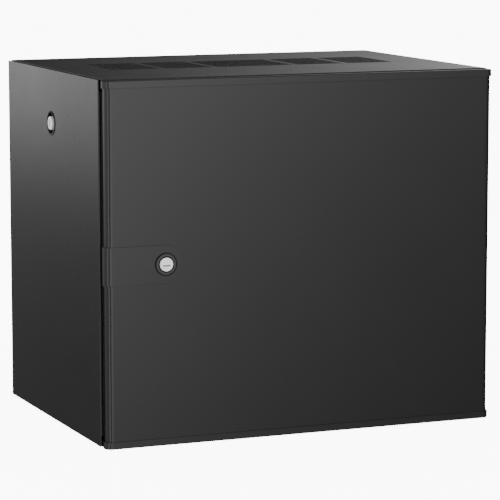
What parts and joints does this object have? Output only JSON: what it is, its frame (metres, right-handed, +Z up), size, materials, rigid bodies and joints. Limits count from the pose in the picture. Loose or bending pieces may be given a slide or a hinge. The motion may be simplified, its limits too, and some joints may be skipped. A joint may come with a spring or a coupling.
{
  "type": "wall mount network cabinet",
  "caption": "Wall cabinet for 19 inch rack equipment with a lockable solid door, removable lockable side panels and a vented top.",
  "frame": {"origin": "middle of the footprint, on the plane of the bottom panel", "axes": "+Z up, +Y from the door towards the wall, +X to the right seen from the front"},
  "size_m": [0.6046, 0.443, 0.5174],
  "materials": {
    "coated_steel": "semi-gloss textured powder coat",
    "door_coat": "semi-gloss powder coat",
    "cap_plastic": "semi-gloss moulded",
    "rail_zinc": "bright zinc plated",
    "fastener_zinc": "zinc plated",
    "lock_chrome": "satin chrome with circular brushing",
    "lock_body": "black die-cast zinc",
    "rubber_trim": "matte",
    "washer_nylon": "natural"
  },
  "bodies": {
    "cabinet": {"top_panel": "coated_steel", "bottom_panel": "coated_steel", "back_panel": "coated_steel", "top_entry_cover": "coated_steel", "bottom_entry_trim": "rubber_trim", "front_post_left": "coated_steel", "front_post_right": "coated_steel", "rear_post_left": "coated_steel", "rear_post_right": "coated_steel", "rail_bar_upper_left": "coated_steel", "rail_bar_upper_right": "coated_steel", "rail_bar_lower_left": "coated_steel", "rail_bar_lower_right": "coated_steel", "rack_rail_front_left": "rail_zinc", "rack_rail_front_right": "rail_zinc", "rack_rail_rear_left": "rail_zinc", "rack_rail_rear_right": "rail_zinc", "bar_screws": "fastener_zinc", "bar_end_plates": "coated_steel", "rail_bolts": "fastener_zinc", "rail_nuts": "fastener_zinc", "cage_nuts": "fastener_zinc", "hinge_arm_upper": "coated_steel", "hinge_arm_lower": "coated_steel", "hinge_pin_upper": "fastener_zinc", "hinge_pin_lower": "fastener_zinc", "hinge_washers": "washer_nylon", "frame_earth_stud": "fastener_zinc", "frame_earth_nut": "fastener_zinc"},
    "door": {"door_leaf": "door_coat", "door_top_cap": "cap_plastic", "door_bottom_cap": "cap_plastic", "door_stiffeners": "door_coat", "door_buffers": "rubber_trim", "lock_plate": "cap_plastic", "door_lock_housing": "lock_body", "door_lock_nut": "fastener_zinc", "door_earth_stud": "fastener_zinc", "door_earth_nut": "fastener_zinc"},
    "door_lock": {"door_lock_plug": "lock_chrome", "door_lock_cam": "fastener_zinc", "door_lock_screw": "fastener_zinc"},
    "side_panel_left": {"side_panel_left": "coated_steel", "side_hooks_left": "coated_steel", "side_lock_housing_left": "lock_body", "side_lock_nut_left": "fastener_zinc"},
    "side_lock_left": {"side_lock_plug_left": "lock_chrome", "side_lock_cam_left": "fastener_zinc", "side_lock_screw_left": "fastener_zinc"},
    "side_panel_right": {"side_panel_right": "coated_steel", "side_hooks_right": "coated_steel", "side_lock_housing_right": "lock_body", "side_lock_nut_right": "fastener_zinc"},
    "side_lock_right": {"side_lock_plug_right": "lock_chrome", "side_lock_cam_right": "fastener_zinc", "side_lock_screw_right": "fastener_zinc"}
  },
  "joints": [
    {"name": "door_swing", "type": "hinge", "parent": "cabinet", "child": "door", "pos_m": [0.2923, -0.209, 0.25872], "axis": [0, 0, 1], "range_deg": [0, 120]},
    {"name": "door_lock_turn", "type": "hinge", "parent": "door", "child": "door_lock", "pos_m": [-0.2097, -0.2185, 0.25872], "axis": [0, -1, 0], "range_deg": [0, 90]},
    {"name": "side_panel_tilt_left", "type": "hinge", "parent": "cabinet", "child": "side_panel_left", "pos_m": [-0.2944, 0.013, 0.014], "axis": [0, -1, 0], "range_deg": [0, 12]},
    {"name": "side_panel_tilt_right", "type": "hinge", "parent": "cabinet", "child": "side_panel_right", "pos_m": [0.2944, 0.013, 0.014], "axis": [0, 1, 0], "range_deg": [0, 12]},
    {"name": "side_lock_turn_left", "type": "hinge", "parent": "side_panel_left", "child": "side_lock_left", "pos_m": [-0.3, 0.013, 0.43915], "axis": [-1, 0, 0], "range_deg": [0, 90]},
    {"name": "side_lock_turn_right", "type": "hinge", "parent": "side_panel_right", "child": "side_lock_right", "pos_m": [0.3, 0.013, 0.43915], "axis": [-1, 0, 0], "range_deg": [0, 90]}
  ]
}
